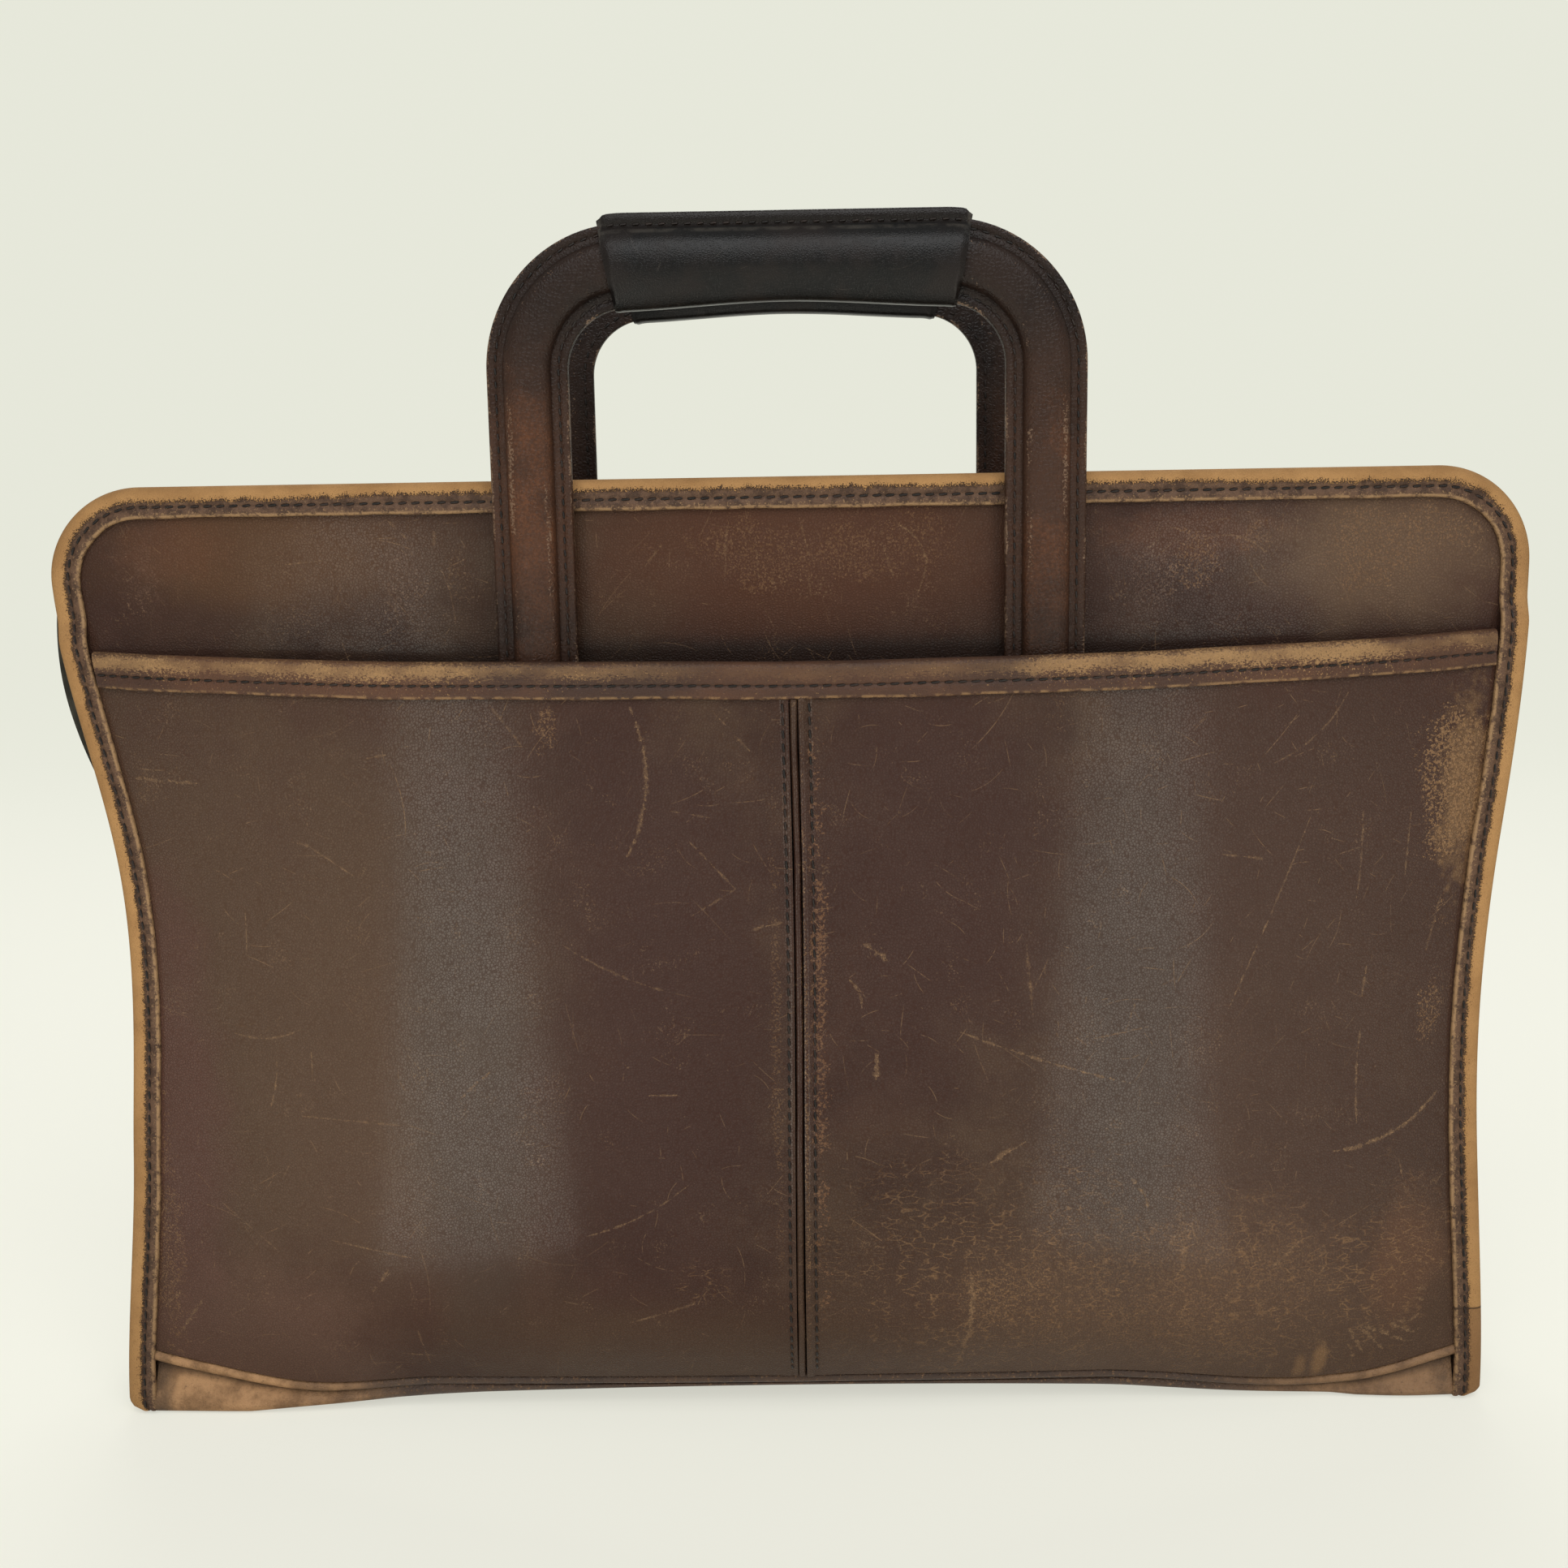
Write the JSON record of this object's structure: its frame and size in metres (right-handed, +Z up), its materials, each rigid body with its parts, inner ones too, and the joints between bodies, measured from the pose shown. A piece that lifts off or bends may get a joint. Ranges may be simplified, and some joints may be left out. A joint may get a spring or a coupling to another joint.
{
  "type": "leather briefcase",
  "caption": "Slim brown leather briefcase with bound edges, a zip round its mouth, a deep pocket on each face and padded handles that slide down into the pockets.",
  "frame": {"origin": "on the floor plane, under the middle of the case", "axes": "+X across the case to the right seen from the front, +Y from front to back, +Z up"},
  "size_m": [0.431, 0.0822, 0.3607],
  "materials": {
    "panel_leather": "satin, grained",
    "pocket_leather": "satin, grained",
    "binding_leather": "worn, tan at the edges",
    "base_leather": "worn matt",
    "gusset_leather": "matt",
    "handle_leather": "polished by use",
    "grip_leather": "polished by use",
    "keeper_leather": "matt",
    "handle_core": "matt",
    "base_board": "matt",
    "zip_tape": "woven, matt",
    "zip_brass": "dulled"
  },
  "bodies": {
    "case": {"base_leather": "base_leather", "base_board": "base_board", "front_bottom_welt": "base_leather", "back_bottom_welt": "base_leather", "left_gusset": "gusset_leather", "right_gusset": "gusset_leather", "back_panel": "panel_leather", "back_edge_binding": "binding_leather", "back_pocket_left": "pocket_leather", "back_pocket_right": "pocket_leather", "back_pocket_rim": "binding_leather", "back_centre_welt": "pocket_leather", "back_keeper_left": "keeper_leather", "back_keeper_right": "keeper_leather", "back_zip_tape": "zip_tape", "back_zip_teeth": "zip_brass"},
    "front_half": {"front_panel": "panel_leather", "front_edge_binding": "binding_leather", "front_pocket_left": "pocket_leather", "front_pocket_right": "pocket_leather", "front_pocket_rim": "binding_leather", "front_centre_welt": "pocket_leather", "front_keeper_left": "keeper_leather", "front_keeper_right": "keeper_leather", "front_zip_tape": "zip_tape", "front_zip_teeth": "zip_brass"},
    "front_handle": {"front_handle_cover": "handle_leather", "front_handle_backing": "handle_leather", "front_handle_core": "handle_core", "front_handle_grip": "grip_leather", "front_handle_stop_left": "keeper_leather", "front_handle_stop_right": "keeper_leather"},
    "back_handle": {"back_handle_cover": "handle_leather", "back_handle_backing": "handle_leather", "back_handle_core": "handle_core", "back_handle_grip": "grip_leather", "back_handle_stop_left": "keeper_leather", "back_handle_stop_right": "keeper_leather"},
    "slider": {"zip_slider": "zip_brass"},
    "pull": {"zip_pull": "zip_brass"}
  },
  "joints": [
    {"name": "front_opening", "type": "hinge", "parent": "case", "child": "front_half", "pos_m": [0, -0.022, 0.011], "axis": [1, 0, 0], "range_deg": [0, 14], "deforming": ["left_gusset", "right_gusset"]},
    {"name": "front_handle_slide", "type": "slide", "parent": "front_half", "child": "front_handle", "axis": [0, 0, 1], "range_m": [-0.095, 0]},
    {"name": "back_handle_slide", "type": "slide", "parent": "case", "child": "back_handle", "axis": [0, 0, 1], "range_m": [-0.095, 0]},
    {"name": "zip_run", "type": "slide", "parent": "case", "child": "slider", "axis": [1, 0, 0], "range_m": [-0.33, 0]},
    {"name": "pull_flip", "type": "hinge", "parent": "slider", "child": "pull", "pos_m": [0.165, 0, 0.2847], "axis": [0, 1, 0], "range_deg": [0, 180]}
  ]
}
